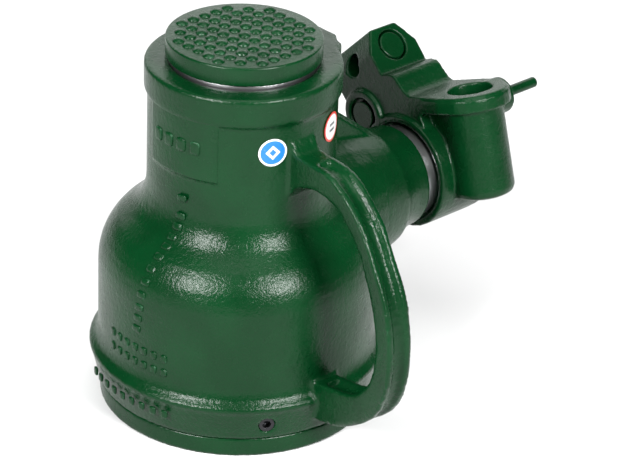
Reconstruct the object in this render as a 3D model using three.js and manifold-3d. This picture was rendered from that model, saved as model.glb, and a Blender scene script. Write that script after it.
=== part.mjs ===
// Ratchet screw jack: a bell-shaped housing with a carrying handle and a side neck. A bevel pinion in the
// neck turns a bevel gear and load screw on a ball thrust bearing, which raises a keyed ram and its cap.
// Millimetres, +Z up, base seat centre at the origin, neck along +X, handle towards -Y.
import * as THREE from "three";
import { mergeVertices } from "three/addons/utils/BufferGeometryUtils.js";
import Module from "manifold-3d";

const wasm = await Module();
wasm.setup();

// ---------------------------------------------------------------- driving dimensions
const GAP = 0.3; // running gap between neighbouring parts
const BASE_R = 89; // machined base flange
const BASE_H = 13;
const RIM_R = 96; // cast rim at the foot of the housing
const RIM_TOP = 39.3;
const BELL_R = 90.2; // lower cylinder of the bell
const BELL_TOP = 95.8; // where the shoulder starts to curve in
const SHOULDER_R = 42.8; // convex arc of the shoulder
const HOLLOW_R = 31.7; // concave arc above it
const SHOULDER_ANGLE = THREE.MathUtils.degToRad(52.4);
const TOWER_R = 59.9; // upper cylinder
const WALL = 8;
const COLLAR_R = 62.2; // machined collar round the ram
const COLLAR_Z = 218;
const COLLAR_TOP = 236.5;
const BORE_R = 46.3; // ram bore
const NECK_Z = 110.8; // height of the pinion axis
const NECK_R = 34.9;
const NECK_END = 138;
const NECK_FLARE_R = 42; // radius of the flare where the neck meets the bell
const NECK_BORE_R = 25;
const PINION_ROOM_R = 29;
const PINION_ROOM_END = 74;
const HANDLE_AZIMUTH = THREE.MathUtils.degToRad(-93.5);
const HANDLE_W = 19;
const HANDLE_GROOVE_W = 9;
const HANDLE_GROOVE_D = 3.2;
const SET_SCREW_Z = 24.3;
const SET_SCREW_AZIMUTHS = [-119, 1, 121].map(THREE.MathUtils.degToRad);

const GEAR_TEETH = 33;
const PINION_TEETH = 12;
const MODULE = 4;
const FACE_W = 16;
const TOOTH_TIP = 2.6;
const TOOTH_ROOT = 4;
const BACKLASH = 0.8;
const GEAR_PITCH_R = (GEAR_TEETH * MODULE) / 2;
const PINION_PITCH_R = (PINION_TEETH * MODULE) / 2;

const BALL_R = 4.5;
const BALL_RING_R = 34;
const BALLS = 14;
const RACE_Z = 24.3; // underside of the lower race
const RACE_H = 7;
const CAGE_Z = RACE_Z + RACE_H + GAP + BALL_R; // ball centres
const UPPER_RACE_Z = CAGE_Z + BALL_R + GAP;
const GEAR_HUB_Z = UPPER_RACE_Z + RACE_H + GAP;
const GEAR_HUB_TOP = 80;
const SCREW_R = 24.5;
const SCREW_TOP = 228;
const RAM_R = 46;
const RAM_BOTTOM = 89;
const RAM_TOP = 239.3;
const NUT_R = 35.7;
const NUT_TOP = 139;
const CAP_R = 49.2;
const CAP_Z = 239.6;
const CAP_TOP = 252;
const STUD_PITCH = 9.4;
const STUD_H = 2;
const SHAFT_R = 15;
const WHEEL_TEETH = 18;
const WHEEL_TIP_R = 24.5;
const WHEEL_ROOT_R = 20;

// Lever head, in its own frame: x along the pinion axis, u away from the tower side, v up the socket.
const HEAD_LEAN = THREE.MathUtils.degToRad(16.5); // lean of the socket in the rest pose
const HEAD_NEAR = 149;
const HEAD_FAR = 191;
const DRUM_R = 38.9;
const DRUM_FAR = 187;
const LIP_X = 145.5;
const DRUM_BORE_R = 26.5;
const DRUM_FLOOR = 154;
const PIVOT = { u: -32, v: 36.4, r: 17.5 };
const SOCKET = { u: 44, x: 176.8, r: 15.2, outer: 20.6, floor: -12, foot: -21 };
const MOUTH = { top: 52.1, under: 41, r: 26.5 };
const BOSS = { v: 40.4, r: 12.4, end: 205 };
const PLUG = { u: -18.1, v: 80.4, x: 170.5, tilt: THREE.MathUtils.degToRad(28.5) };
const PAWL_LIFT = THREE.MathUtils.degToRad(8);

const GREEN = { color: 0x17512c, roughness: 0.35, metalness: 0.1 };
const GREEN_SMOOTH = { color: 0x1a5a31, roughness: 0.25, metalness: 0.1 };
const STEEL = { color: 0x9a9c9f, roughness: 0.35, metalness: 0.95 };
const DARK_STEEL = { color: 0x2b2c2e, roughness: 0.45, metalness: 0.85 };
const BRONZE = { color: 0xa8763c, roughness: 0.4, metalness: 0.9 };
const RUBBER = { color: 0x191919, roughness: 0.8, metalness: 0 };
const BLUE = { color: 0x0a78e0, roughness: 0.5, metalness: 0 };
const RED = { color: 0xc8442c, roughness: 0.5, metalness: 0 };

const ROUND = 40; // segments of the large turned surfaces
const MID = 28;
const FINE = 16;

const jack = new THREE.Group();
jack.name = "toe_jack";

// ---------------------------------------------------------------- solid helpers
function solid(geometry) {
  const flat = geometry.index ? geometry.toNonIndexed() : geometry;
  const bare = new THREE.BufferGeometry().setAttribute("position", flat.getAttribute("position"));
  const merged = mergeVertices(bare, 1e-4);
  const make = (triVerts) =>
    new wasm.Manifold(
      new wasm.Mesh({ numProp: 3, vertProperties: merged.attributes.position.array, triVerts }),
    );
  const tri = new Uint32Array(merged.index.array);
  const made = make(tri);
  if (made.volume() >= 0) return made;
  for (let i = 0; i < tri.length; i += 3) [tri[i + 1], tri[i + 2]] = [tri[i + 2], tri[i + 1]];
  return make(tri);
}

function add(name, body, finish) {
  const m = body.simplify(0.04).getMesh();
  const geometry = new THREE.BufferGeometry();
  geometry.setAttribute("position", new THREE.BufferAttribute(new Float32Array(m.vertProperties), 3));
  geometry.setIndex(new THREE.BufferAttribute(new Uint32Array(m.triVerts), 1));
  geometry.computeVertexNormals();
  const mesh = new THREE.Mesh(geometry, new THREE.MeshStandardMaterial(finish));
  mesh.name = name;
  jack.add(mesh);
}

const unite = (first, ...rest) => rest.reduce((a, b) => a.add(b), first);
const cut = (body, ...tools) => tools.reduce((a, b) => a.subtract(b), body);

// Solid of revolution about Z from [r, z] points.
function lathe(points, segments = ROUND) {
  const profile = points.map(([r, z]) => new THREE.Vector2(r, z));
  if (points[0][0] > 0 || points.at(-1)[0] > 0) profile.push(profile[0].clone());
  return solid(new THREE.LatheGeometry(profile, segments).rotateX(Math.PI / 2));
}

// Solid of revolution about an axis along X at height z, from [r, x] points.
function latheX(points, segments = MID, z = NECK_Z) {
  return lathe(points, segments).rotate([0, 90, 0]).translate([0, 0, z]);
}

const rodZ = (r, z0, z1, x = 0, y = 0, segments = 20) =>
  lathe([[0, z0], [r, z0], [r, z1], [0, z1]], segments).translate([x, y, 0]);

const ringZ = (outer, inner, z0, z1, segments = ROUND) =>
  lathe([[inner, z0], [outer, z0], [outer, z1], [inner, z1]], segments);

const box = (x0, x1, y0, y1, z0, z1) =>
  solid(
    new THREE.BoxGeometry(x1 - x0, y1 - y0, z1 - z0).translate((x0 + x1) / 2, (y0 + y1) / 2, (z0 + z1) / 2),
  );

// Points of an arc; angles in radians, anticlockwise.
function arc(cx, cy, r, from, to, steps) {
  return Array.from({ length: steps + 1 }, (_, i) => {
    const a = from + ((to - from) * i) / steps;
    return [cx + r * Math.cos(a), cy + r * Math.sin(a)];
  });
}

// Prism of a closed outline between two heights.
function prism(outline, z0, z1) {
  const shape = new THREE.Shape(outline.map(([x, y]) => new THREE.Vector2(x, y)));
  return solid(
    new THREE.ExtrudeGeometry(shape, { depth: z1 - z0, bevelEnabled: false }).translate(0, 0, z0),
  );
}

// ---------------------------------------------------------------- housing
function shoulder(offset) {
  const low = arc(BELL_R - SHOULDER_R, BELL_TOP, SHOULDER_R - offset, 0, SHOULDER_ANGLE, 6);
  const top = BELL_TOP + 60.1;
  const high = arc(TOWER_R + HOLLOW_R, top, HOLLOW_R + offset, Math.PI + SHOULDER_ANGLE, Math.PI, 5);
  return [...low, ...high];
}

function housingProfile() {
  const foot = BASE_H + GAP;
  const tower = BORE_R + 5.2;
  return [
    [82, foot], [89.6, foot], [90.1, foot + 1], [95, RIM_TOP - 4.6], [RIM_R, RIM_TOP - 3],
    [RIM_R, RIM_TOP - 1.2], [94.6, RIM_TOP], [91.6, RIM_TOP + 3], [BELL_R, RIM_TOP + 8],
    ...shoulder(0),
    [TOWER_R, COLLAR_Z - 2.4], [TOWER_R + 0.7, COLLAR_Z - 0.6], [COLLAR_R - 0.4, COLLAR_Z],
    [COLLAR_R, COLLAR_Z + 1], [COLLAR_R, COLLAR_TOP - 1.5], [COLLAR_R - 1.5, COLLAR_TOP],
    [BORE_R + 1.2, COLLAR_TOP], [BORE_R, COLLAR_TOP - 1.2], [BORE_R, 235], [50.5, 235], [50.5, 231],
    [BORE_R, 231], [BORE_R, 161], [tower, BELL_TOP + 60.1],
    ...shoulder(WALL).reverse().filter((_, i) => i % 2 === 0),
  ];
}

// The collar widens into a rounded lug above the neck, with a small step cut into its tip.
function collarLug() {
  const near = arc(62.5, -11, 7.6, -1.15, 0, 4);
  const far = arc(62.1, 26, 8, 0, 1.0, 3);
  const lug = prism([[0, 0], [56, -25], ...near, ...far, [40, 47.5]], COLLAR_Z + 0.4, COLLAR_TOP - 0.2);
  const step = prism([[60, -24], [76, -24], [76, -8], [67, -11]], COLLAR_TOP - 4, COLLAR_TOP + 4);
  return cut(lug, step, rodZ(BORE_R + 6, COLLAR_Z - 5, COLLAR_TOP + 5, 0, 0, ROUND));
}

// Side neck with its flare, and the crest rib that runs down on it from below the collar.
function neckOuter() {
  const flare = arc(NECK_R + NECK_FLARE_R, NECK_END - 3, NECK_FLARE_R, Math.PI, Math.PI * 1.19, 4);
  const neck = latheX(
    [[0, 40], [52, 40], [50, 75], [47.4, 88], [45, 99], ...flare.reverse(),
      [NECK_R, NECK_END - 0.8], [NECK_R - 0.8, NECK_END],
      [0, NECK_END]],
    MID,
  );
  const rib = (drop, half) =>
    prism([[50, 128], [122, 128], [124, 142.6 - drop], [60, 191.4 - drop], [50, 197 - drop]], -half, half)
      .rotate([90, 0, 0]);
  return unite(neck, rib(3, 9), rib(0, 4.5));
}

function handleOutline() {
  const outer = new THREE.CatmullRomCurve3(
    [[56, 208], [60.6, 204], [63.6, 200], [69, 197.7], [83, 197.6], [97, 196.8], [111.5, 189.6],
      [124, 179.4], [133.5, 167.4], [141.5, 153.6], [150.4, 138.5], [156.6, 122], [160, 100], [158.2, 74],
      [148.4, 52.2], [131, 37], [113, 27.5], [99, 24], [88, 23]].map(([r, z]) => new THREE.Vector3(r, z, 0)),
  ).getPoints(42);
  const inner = new THREE.CatmullRomCurve3(
    [[86, 49], [94, 49.6], [106, 51.6], [121, 55], [134, 62.5], [143.4, 76], [146.8, 99], [143.4, 121],
      [137, 139], [128, 156], [117, 170], [106, 178], [92, 181.5], [76, 180], [65, 175], [60, 168],
      [56, 160]].map(([r, z]) => new THREE.Vector3(r, z, 0)),
  ).getPoints(36);
  return { outer, inner };
}

// Cast handle of H section: a ring-like plate with a channel run along its outer and inner faces.
function handle() {
  const { outer, inner } = handleOutline();
  const outline = [...outer, ...inner].map((p) => [p.x, p.y]);
  const plate = prism(outline, -HANDLE_W / 2, HANDLE_W / 2);
  const channel = (points, keep) => {
    const run = points.filter(keep);
    const shifted = run.map((p, i) => {
      const a = run[Math.max(i - 1, 0)];
      const b = run[Math.min(i + 1, run.length - 1)];
      const n = new THREE.Vector2(b.y - a.y, a.x - b.x).normalize();
      const floor = [p.x + n.x * HANDLE_GROOVE_D, p.y + n.y * HANDLE_GROOVE_D];
      return { floor, open: [p.x - n.x * 6, p.y - n.y * 6] };
    });
    const band = [...shifted.map((s) => s.floor), ...shifted.map((s) => s.open).reverse()];
    return prism(band, -HANDLE_GROOVE_W / 2, HANDLE_GROOVE_W / 2);
  };
  const outside = channel(outer, (p) => p.x > 78 && (p.y > 40 || p.x > 124));
  const inside = channel(inner, (p) => p.x > 96);
  const body = cut(plate, outside, inside);
  return body.rotate([90, 0, 0]).rotate([0, 0, THREE.MathUtils.radToDeg(HANDLE_AZIMUTH)]);
}

// Raised plain pad on the tower, left of the handle.
function towerPad() {
  const face = arc(0, 0, TOWER_R + 1.1, -Math.PI * 1.1, -Math.PI * 0.808, 10);
  const back = arc(0, 0, TOWER_R - 2, -Math.PI * 0.808, -Math.PI * 1.1, 10);
  return prism([...face, ...back], 178, COLLAR_Z + 0.5);
}

function radialRod(r, from, to, azimuth, z, segments = 14) {
  return rodZ(r, from, to, 0, 0, segments)
    .rotate([0, 90, 0])
    .rotate([0, 0, THREE.MathUtils.radToDeg(azimuth)])
    .translate([0, 0, z]);
}

function housing() {
  const tower = lathe(housingProfile());
  const cavity = lathe([[0, 0], [82, 0], ...shoulder(WALL + 0.1).filter((_, i) => i % 2 === 0),
    [BORE_R + 5.2, 157], [0, 157]]);
  const throughBore = rodZ(BORE_R, 150, 240, 0, 0, ROUND);
  const room = latheX(
    [[0, 30], [PINION_ROOM_R, 30], [PINION_ROOM_R, PINION_ROOM_END], [NECK_BORE_R, PINION_ROOM_END],
      [NECK_BORE_R, NECK_END + 1], [0, NECK_END + 1]],
    MID,
  );
  const outside = unite(cut(neckOuter(), rodZ(58, 0, 260, 0, 0, MID)), handle(), towerPad());
  const hollow = unite(cavity, throughBore, ringZ(50.5, 40, 231, 235));
  const solidBody = unite(tower, cut(outside, hollow), cut(collarLug(), ringZ(50.5, 40, 231, 235)));
  const tapped = SET_SCREW_AZIMUTHS.map((a) => radialRod(5.4, 78, 99, a, SET_SCREW_Z));
  const keyway = box(-4.3, 4.3, 44, 51.5, 204, 228.3);
  const keyScrew = radialRod(3.4, 48, 70, Math.PI / 2, 222);
  const keyHead = radialRod(5.6, 56.8, 70, Math.PI / 2, 222);
  const grease = radialRod(4.3, 20, 60, Math.PI / 2, 0).translate([126, 0, NECK_Z]);
  return cut(solidBody, room, keyway, keyScrew, keyHead, grease, ...tapped);
}

// ---------------------------------------------------------------- parts fixed to the housing
function basePlate() {
  return lathe(
    [[0, 0], [BASE_R - 1, 0], [BASE_R, 1], [BASE_R, BASE_H - 0.6], [BASE_R - 0.6, BASE_H], [81.7, BASE_H],
      [81.7, 17.5], [79.2, 18.6], [79.2, 30], [46.6, 30], [46.6, RACE_Z - GAP],
      [15.4, RACE_Z - GAP], [15.4, 8], [0, 8]],
  );
}

function setScrew(azimuth) {
  const body = radialRod(5.1, 79.5, 91, azimuth, SET_SCREW_Z);
  return cut(body, radialRod(2.9, 86.5, 92, azimuth, SET_SCREW_Z, 6));
}

function race(z) {
  const [near, far] = z < CAGE_Z ? [z + RACE_H, z] : [z, z + RACE_H];
  const into = Math.sign(far - near);
  return lathe([[22, far], [22, near], [32.2, near], [33.2, near + 0.5 * into], [34.8, near + 0.5 * into],
    [35.8, near], [46.3, near], [46.3, far]], MID);
}

// The thrust balls and the cage that spaces them.
function ballCage() {
  const cage = ringZ(41, 27, CAGE_Z - 2.2, CAGE_Z + 2.2, 28);
  const balls = Array.from({ length: BALLS }, (_, i) => {
    const a = (2 * Math.PI * i) / BALLS;
    const ball = solid(new THREE.SphereGeometry(BALL_R, 8, 6).rotateX(Math.PI / 2));
    return ball.translate([BALL_RING_R * Math.cos(a), BALL_RING_R * Math.sin(a), CAGE_Z]);
  });
  return unite(cage, ...balls);
}

const neckBush = (x0, x1) => latheX([[SHAFT_R + GAP, x0], [NECK_BORE_R - GAP, x0], [NECK_BORE_R - GAP, x1],
  [SHAFT_R + GAP, x1]]);

const neckWasher = () => latheX([[SHAFT_R + GAP, NECK_END + GAP], [31.5, NECK_END + GAP],
  [31.5, HEAD_NEAR - GAP], [SHAFT_R + GAP, HEAD_NEAR - GAP]]);

const wiperRing = () => lathe([[46.35, 231.4], [50.2, 231.3], [50.2, 234.7], [46.35, 234.6]], ROUND);

function guideKey() {
  const key = box(-4, 4, 42.3, 51.2, 204.3, 228);
  return cut(key, radialRod(3, 46, 60, Math.PI / 2, 222));
}

function guideKeyScrew() {
  const shank = radialRod(2.7, 46.4, 57.5, Math.PI / 2, 222);
  const head = radialRod(5.2, 57.1, 61.4, Math.PI / 2, 222);
  return cut(unite(shank, head), radialRod(2.6, 59, 64, Math.PI / 2, 222, 6));
}

function greasePlug() {
  const stem = radialRod(4, 26, 40, Math.PI / 2, 0);
  const head = radialRod(6.6, 38.7, 42, Math.PI / 2, 0, 6);
  return unite(stem, head).translate([126, 0, NECK_Z]);
}

// Thin printed disc wrapped on the tower.
function label(r, azimuth, z) {
  const skin = ringZ(TOWER_R + 0.75, TOWER_R + 0.35, z - 15, z + 15);
  return skin.intersect(radialRod(r, 50, 70, azimuth, z, 24));
}

// ---------------------------------------------------------------- gears
// Corners of bevel teeth about +Z with the pitch apex at the origin: one ring at each cone distance.
function toothRings(teeth, pitchR, otherR, phase) {
  const cone = Math.hypot(pitchR, otherR);
  const pitch = Math.atan2(pitchR, otherR);
  const quarter = (Math.PI * MODULE) / 4 - BACKLASH / 2;
  const slope = Math.tan(THREE.MathUtils.degToRad(20));
  const corners = [];
  for (let i = 0; i < teeth; i++) {
    const mid = phase + (2 * Math.PI * i) / teeth;
    const root = (quarter + TOOTH_ROOT * slope) / pitchR;
    const tip = (quarter - TOOTH_TIP * slope) / pitchR;
    corners.push([mid - root, -TOOTH_ROOT], [mid - tip, TOOTH_TIP], [mid + tip, TOOTH_TIP],
      [mid + root, -TOOTH_ROOT]);
  }
  return [cone, cone - FACE_W].map((distance) =>
    corners.map(([azimuth, rise]) => {
      const angle = pitch + rise / cone;
      const r = distance * Math.sin(angle);
      return [r * Math.cos(azimuth), r * Math.sin(azimuth), distance * Math.cos(angle)];
    }),
  );
}

// Closed toothed ring: each end face runs in to a plain circle of one point per tooth.
function bevelTeeth(teeth, pitchR, otherR, phase, backInner, frontInner) {
  const [back, front] = toothRings(teeth, pitchR, otherR, phase);
  const circle = ([r, z]) =>
    Array.from({ length: teeth }, (_, i) => {
      const a = phase + (2 * Math.PI * i) / teeth;
      return [r * Math.cos(a), r * Math.sin(a), z];
    });
  const [backRing, frontRing] = [circle(backInner), circle(frontInner)];
  const position = [];
  const face = (...p) => p.forEach((q) => position.push(...q));
  const n = back.length;
  for (let i = 0; i < n; i++) {
    const j = (i + 1) % n;
    const own = Math.floor(i / 4);
    face(back[i], back[j], front[i]);
    face(front[i], back[j], front[j]);
    face(back[i], backRing[own], back[j]);
    face(front[i], front[j], frontRing[own]);
    if (i % 4 !== 3) continue;
    const next = (own + 1) % teeth;
    face(backRing[own], backRing[next], back[j]);
    face(frontRing[own], front[j], frontRing[next]);
    face(backRing[own], frontRing[own], backRing[next]);
    face(frontRing[own], frontRing[next], backRing[next]);
  }
  const geometry = new THREE.BufferGeometry();
  geometry.setAttribute("position", new THREE.Float32BufferAttribute(position, 3));
  return solid(geometry);
}

function bevelGear() {
  const teeth = bevelTeeth(GEAR_TEETH, GEAR_PITCH_R, PINION_PITCH_R, Math.PI / GEAR_TEETH, [48, 34], [46, 22])
    .rotate([180, 0, 0])
    .translate([0, 0, NECK_Z]);
  const hub = lathe(
    [[26.3, GEAR_HUB_Z], [45.8, GEAR_HUB_Z], [45.8, 60], [57, 77], [52, 84], [40, GEAR_HUB_TOP],
      [26.3, GEAR_HUB_TOP]],
    GEAR_TEETH,
  );
  return cut(unite(teeth, hub), box(20, 31, -4, 4, 40, 100));
}

const gearKey = () => box(22.3, 30.7, -3.7, 3.7, GEAR_HUB_Z + 1, GEAR_HUB_TOP - 0.3);

function loadScrew() {
  const body = lathe(
    [[0, 8.3], [15, 8.3], [15, RACE_Z - GAP], [21.7, RACE_Z - GAP], [21.7, GEAR_HUB_Z], [26, GEAR_HUB_Z],
      [26, GEAR_HUB_TOP + GAP], [36, GEAR_HUB_TOP + GAP], [36, 87.4], [35, 88.4], [SCREW_R - 2, 88.4],
      [SCREW_R, 90.4], [SCREW_R, SCREW_TOP - 3], [SCREW_R - 3, SCREW_TOP], [0, SCREW_TOP]],
    MID,
  );
  return cut(body, box(22, 27, -4, 4, GEAR_HUB_Z + 0.7, GEAR_HUB_TOP));
}

function bevelPinion() {
  const teeth = bevelTeeth(PINION_TEETH, PINION_PITCH_R, GEAR_PITCH_R, 0, [10, 68], [8, 51.6])
    .rotate([0, 90, 0])
    .translate([0, 0, NECK_Z]);
  const shaft = latheX(
    [[0, 52.4], [12.5, 52.4], [12.5, 64], [19, 67], [19, 73.7], [SHAFT_R, 73.7], [SHAFT_R, 154.7], [12, 154.7],
      [12, 190], [9, 191], [9, 206], [8, 207], [0, 207]],
    MID,
  );
  const keyway = box(160, 180, -3, 3, 8.4, 13);
  return cut(unite(teeth, shaft), leanHead(keyway));
}

// ---------------------------------------------------------------- ram and cap
function ram() {
  const body = lathe(
    [[28, NUT_TOP + GAP], [36, NUT_TOP + GAP], [36, RAM_BOTTOM], [RAM_R - 1, RAM_BOTTOM],
      [RAM_R, RAM_BOTTOM + 1], [RAM_R, RAM_TOP - 0.8], [RAM_R - 0.8, RAM_TOP], [20, RAM_TOP],
      [20, 241.4], [18.2, 242.2], [18.2, 243.8], [20, 244.6], [20, 245.4], [19.4, 246], [0, 246],
      [0, 231.5], [28, 231.5]],
  );
  const slot = box(-4.3, 4.3, 41.5, 50, 100, 228.6);
  return cut(body, slot, ...[0, Math.PI].map((a) => radialRod(3.1, 30, 50, a, 130)));
}

function ramNut() {
  const body = lathe([[SCREW_R + 0.5, RAM_BOTTOM + 0.2], [NUT_R, RAM_BOTTOM + 0.2], [NUT_R, NUT_TOP],
    [SCREW_R + 0.5, NUT_TOP]], MID);
  return cut(body, ...[0, Math.PI].map((a) => radialRod(3.1, 30, 50, a, 130)));
}

const nutPin = (azimuth) => radialRod(2.8, 30.4, 45.4, azimuth, 130, 16);

// Round load cap: a diagonal grid of raised studs on a flat top, hollow seat below.
function loadCap() {
  const body = lathe(
    [[20.4, CAP_Z], [CAP_R - 1.2, CAP_Z], [CAP_R, CAP_Z + 1.2], [CAP_R, CAP_TOP - 1.4],
      [CAP_R - 1.4, CAP_TOP], [0, CAP_TOP], [0, 246.3], [20.4, 246.3], [20.4, 244.6], [22.2, 243.8],
      [22.2, 242.2], [20.4, 241.4]],
  );
  const studs = [];
  const n = Math.ceil(CAP_R / STUD_PITCH);
  for (let i = -n; i <= n; i++)
    for (let j = -n; j <= n; j++) {
      const [x, y] = [i * STUD_PITCH, j * STUD_PITCH];
      if (Math.hypot(x, y) > CAP_R - 4.6) continue;
      const stud = lathe([[0, CAP_TOP - 1], [3.3, CAP_TOP - 1], [3.3, CAP_TOP], [2.3, CAP_TOP + STUD_H],
        [0, CAP_TOP + STUD_H]], 4);
      studs.push(stud.translate([x, y, 0]));
    }
  return unite(body, ...studs);
}

function capRing() {
  const ring = solid(new THREE.TorusGeometry(20.2, 1.35, 6, 24).translate(0, 0, 243));
  return cut(ring, box(0, 30, -2, 2, 240, 246));
}

// ---------------------------------------------------------------- lever head
const leanHead = (body) =>
  body.rotate([THREE.MathUtils.radToDeg(-HEAD_LEAN), 0, 0]).translate([0, 0, NECK_Z]);

// Prism of a [u, v] outline between two stations along the pinion axis.
const slab = (outline, x0, x1) =>
  prism(outline.map(([u, v]) => [-u, v]), x0, x1).rotate([90, 0, 90]);

const headRod = (r, x0, x1, u = 0, v = 0, segments = 20) =>
  rodZ(r, x0, x1, 0, 0, segments).rotate([0, 90, 0]).translate([0, -u, v]);

const socketRod = (r, v0, v1, segments = MID) => rodZ(r, v0, v1, SOCKET.x, -SOCKET.u, segments);

// A body made along +Z is laid on the plunger axis, its origin on the plug face and +Z into the head.
const onPlunger = (body) =>
  body
    .rotate([-90 - THREE.MathUtils.radToDeg(PLUG.tilt), 0, 0])
    .translate([PLUG.x, -PLUG.u, PLUG.v]);

// Spring housing: a block with its upper corners cut off, square to the plug face.
function springHousing() {
  const half = (HEAD_FAR - HEAD_NEAR) / 2;
  const section = [[-half, 17], [-half, 1.5], [-half + 9.5, -14.3], [half - 10, -14.3], [half, 1], [half, 17]];
  const shift = (HEAD_FAR + HEAD_NEAR) / 2 - PLUG.x;
  return onPlunger(prism(section.map(([x, y]) => [x + shift, y]), 0, 46));
}

// Full-width core between drum, pivot, spring housing, step and mouth plate.
function headCore() {
  return slab(
    [[-10.1, 65.3], [-4, 66.2], [1, 65.6], [3.6, 63.4], [5.6, 60.2], [10.3, 54.3], [14, MOUTH.top],
      [26, MOUTH.top], [26, MOUTH.under], [21.5, 38.8], [25.8, 27.3], [30, 18], [20, 0], [0, -8], [-20, 0],
      [-36, 12], [-46, 26], [-49.4, 36.4], [-50.4, 43.8]],
    HEAD_NEAR, HEAD_FAR,
  );
}

function lip() {
  const ring = (r, wall, u, v) => cut(headRod(r, LIP_X, HEAD_NEAR + 1, u, v, MID),
    headRod(r - wall, LIP_X - 1, HEAD_NEAR + 2, u, v, MID));
  const drum = headRod(DRUM_R - 2, LIP_X - 1, HEAD_NEAR, 0, 0, MID);
  const round = cut(ring(PIVOT.r, 5.5, PIVOT.u, PIVOT.v), drum);
  return unite(ring(DRUM_R, 5, 0, 0), round);
}

// Mouth plate of the lever socket: straight sides running into a round end.
function mouthPlate() {
  const end = arc(SOCKET.x, -SOCKET.u, MOUTH.r, Math.PI * 1.12, Math.PI * 2, 10);
  const far = [[SOCKET.x + MOUTH.r - 1.5, -SOCKET.u + 9], [HEAD_FAR, -10], [HEAD_FAR, -6], [HEAD_NEAR, -6]];
  const outline = [...end, ...far, [HEAD_NEAR, -SOCKET.u + 4]];
  const edge = [...outline].map(([x, y]) => [SOCKET.x + (x - SOCKET.x) * 0.95, y + (y < -30 ? 1.6 : 0)]);
  return unite(prism(outline, MOUTH.under, MOUTH.top - 2), prism(edge, MOUTH.top - 2.2, MOUTH.top));
}

function socketBarrel() {
  const r = SOCKET.outer;
  return lathe([[0, SOCKET.foot], [r - 5, SOCKET.foot], [r - 1.6, SOCKET.foot + 1.6], [r, SOCKET.foot + 5],
    [r, MOUTH.top - 4], [0, MOUTH.top - 4]], MID).translate([SOCKET.x, -SOCKET.u, 0]);
}

// Web that joins the drum to the barrel.
const barrelWeb = () =>
  slab([[0, SOCKET.foot + 1], [SOCKET.u, SOCKET.foot + 1], [SOCKET.u, 45], [8, 45], [0, 20]], 158.5, 190);

// Hollows of the head: drum, pawl room, plunger bore with its window, and the bar socket.
function headHollows() {
  const pawlRoom = slab(
    [[-44.4, 38.6], [-43.2, 28.6], [-34.6, 24], [-16, 18], [9, 16],
      [9.5, 33], [4, 38.5], [-12, 46.4], [-18.8, 52],
      [-18.8, 58], [-18.4, 67], [-22.5, 78.6], [-27, 81.6], [-33, 81.6], [-39.4, 77], [-40.6, 52]],
    161, 180,
  );
  const plunger = onPlunger(unite(rodZ(11, -1, 7.4), rodZ(8.6, 7, 41.5, 0, 0, 28)));
  const window = headRod(7.4, HEAD_NEAR - 1, 166, -39.2, 69);
  return unite(headRod(DRUM_BORE_R, DRUM_FLOOR, DRUM_FAR + 1, 0, 0, MID), pawlRoom, plunger, window);
}

function leverHead() {
  const body = unite(
    headCore(), headRod(DRUM_R, HEAD_NEAR, DRUM_FAR, 0, 0, ROUND), lip(),
    headRod(PIVOT.r, HEAD_NEAR, HEAD_FAR, PIVOT.u, PIVOT.v, MID), springHousing(), mouthPlate(),
    socketBarrel(), barrelWeb(), headRod(BOSS.r, 188, BOSS.end, SOCKET.u, BOSS.v),
  );
  const faceFar = headRod(DRUM_R + 0.02, DRUM_FAR, HEAD_FAR + 3, 0, 0, ROUND);
  const socket = socketRod(SOCKET.r, SOCKET.floor, MOUTH.top + 1);
  const pinHole = unite(headRod(3.9, 184, 200, SOCKET.u, BOSS.v, 20),
    headRod(7.3, 195.3, BOSS.end + 1, SOCKET.u, BOSS.v, 24));
  const bores = [headRod(SHAFT_R + 0.4, HEAD_NEAR - 4, 160, 0, 0, MID),
    headRod(6.3, HEAD_NEAR - 1, HEAD_FAR + 1, PIVOT.u, PIVOT.v, 24),
    ...COVER_SCREWS.map(([u, v]) => headRod(2.6, 181.3, DRUM_FAR + 1, u, v, 12))];
  return leanHead(cut(body, cut(faceFar, socketRod(SOCKET.outer, -30, 60)), headHollows(), socket, pinHole,
    ...bores));
}

const COVER_SCREWS = [100, 145, 205, 255, 300].map((deg) => {
  const a = THREE.MathUtils.degToRad(deg);
  return [32.7 * Math.cos(a), 32.7 * Math.sin(a)];
});

function headCover() {
  const disc = headRod(DRUM_R - 0.3, DRUM_FAR + GAP, HEAD_FAR + 1, 0, 0, ROUND);
  const clear = socketRod(SOCKET.outer + 0.4, -40, 60);
  const holes = COVER_SCREWS.map(([u, v]) => headRod(2.6, 180, 200, u, v, 12));
  const bore = headRod(15, 180, 200, 0, 0, MID);
  return leanHead(cut(disc, clear, bore, ...holes));
}

function coverScrew([u, v]) {
  const shank = headRod(2.3, 181.6, HEAD_FAR + 1.5, u, v, 12);
  const head = headRod(4.3, HEAD_FAR + 1.3, HEAD_FAR + 5.3, u, v, 14);
  return leanHead(cut(unite(shank, head), headRod(2.1, HEAD_FAR + 3, HEAD_FAR + 6, u, v, 6)));
}

function ratchetWheel() {
  const outline = [];
  const step = (2 * Math.PI) / WHEEL_TEETH;
  const first = Math.PI / 2 + 0.02 + step / 2;
  for (let i = 0; i < WHEEL_TEETH; i++) {
    const a = first + i * step;
    const at = (r, half) => [r * Math.cos(a + half / r), r * Math.sin(a + half / r)];
    outline.push(at(WHEEL_ROOT_R, -2.1), at(WHEEL_TIP_R, -1.2), at(WHEEL_TIP_R, 1.2), at(WHEEL_ROOT_R, 2.1));
  }
  const wheel = unite(slab(outline, 157, 183), headRod(14.7, 155, 192.6, 0, 0, MID));
  return leanHead(cut(wheel, headRod(12.3, 150, 200, 0, 0, MID), box(150, 193, -3, 3, 11, 14.3)));
}

const wheelKey = () => leanHead(box(160.3, 179.7, -2.7, 2.7, 8.7, 14));

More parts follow.
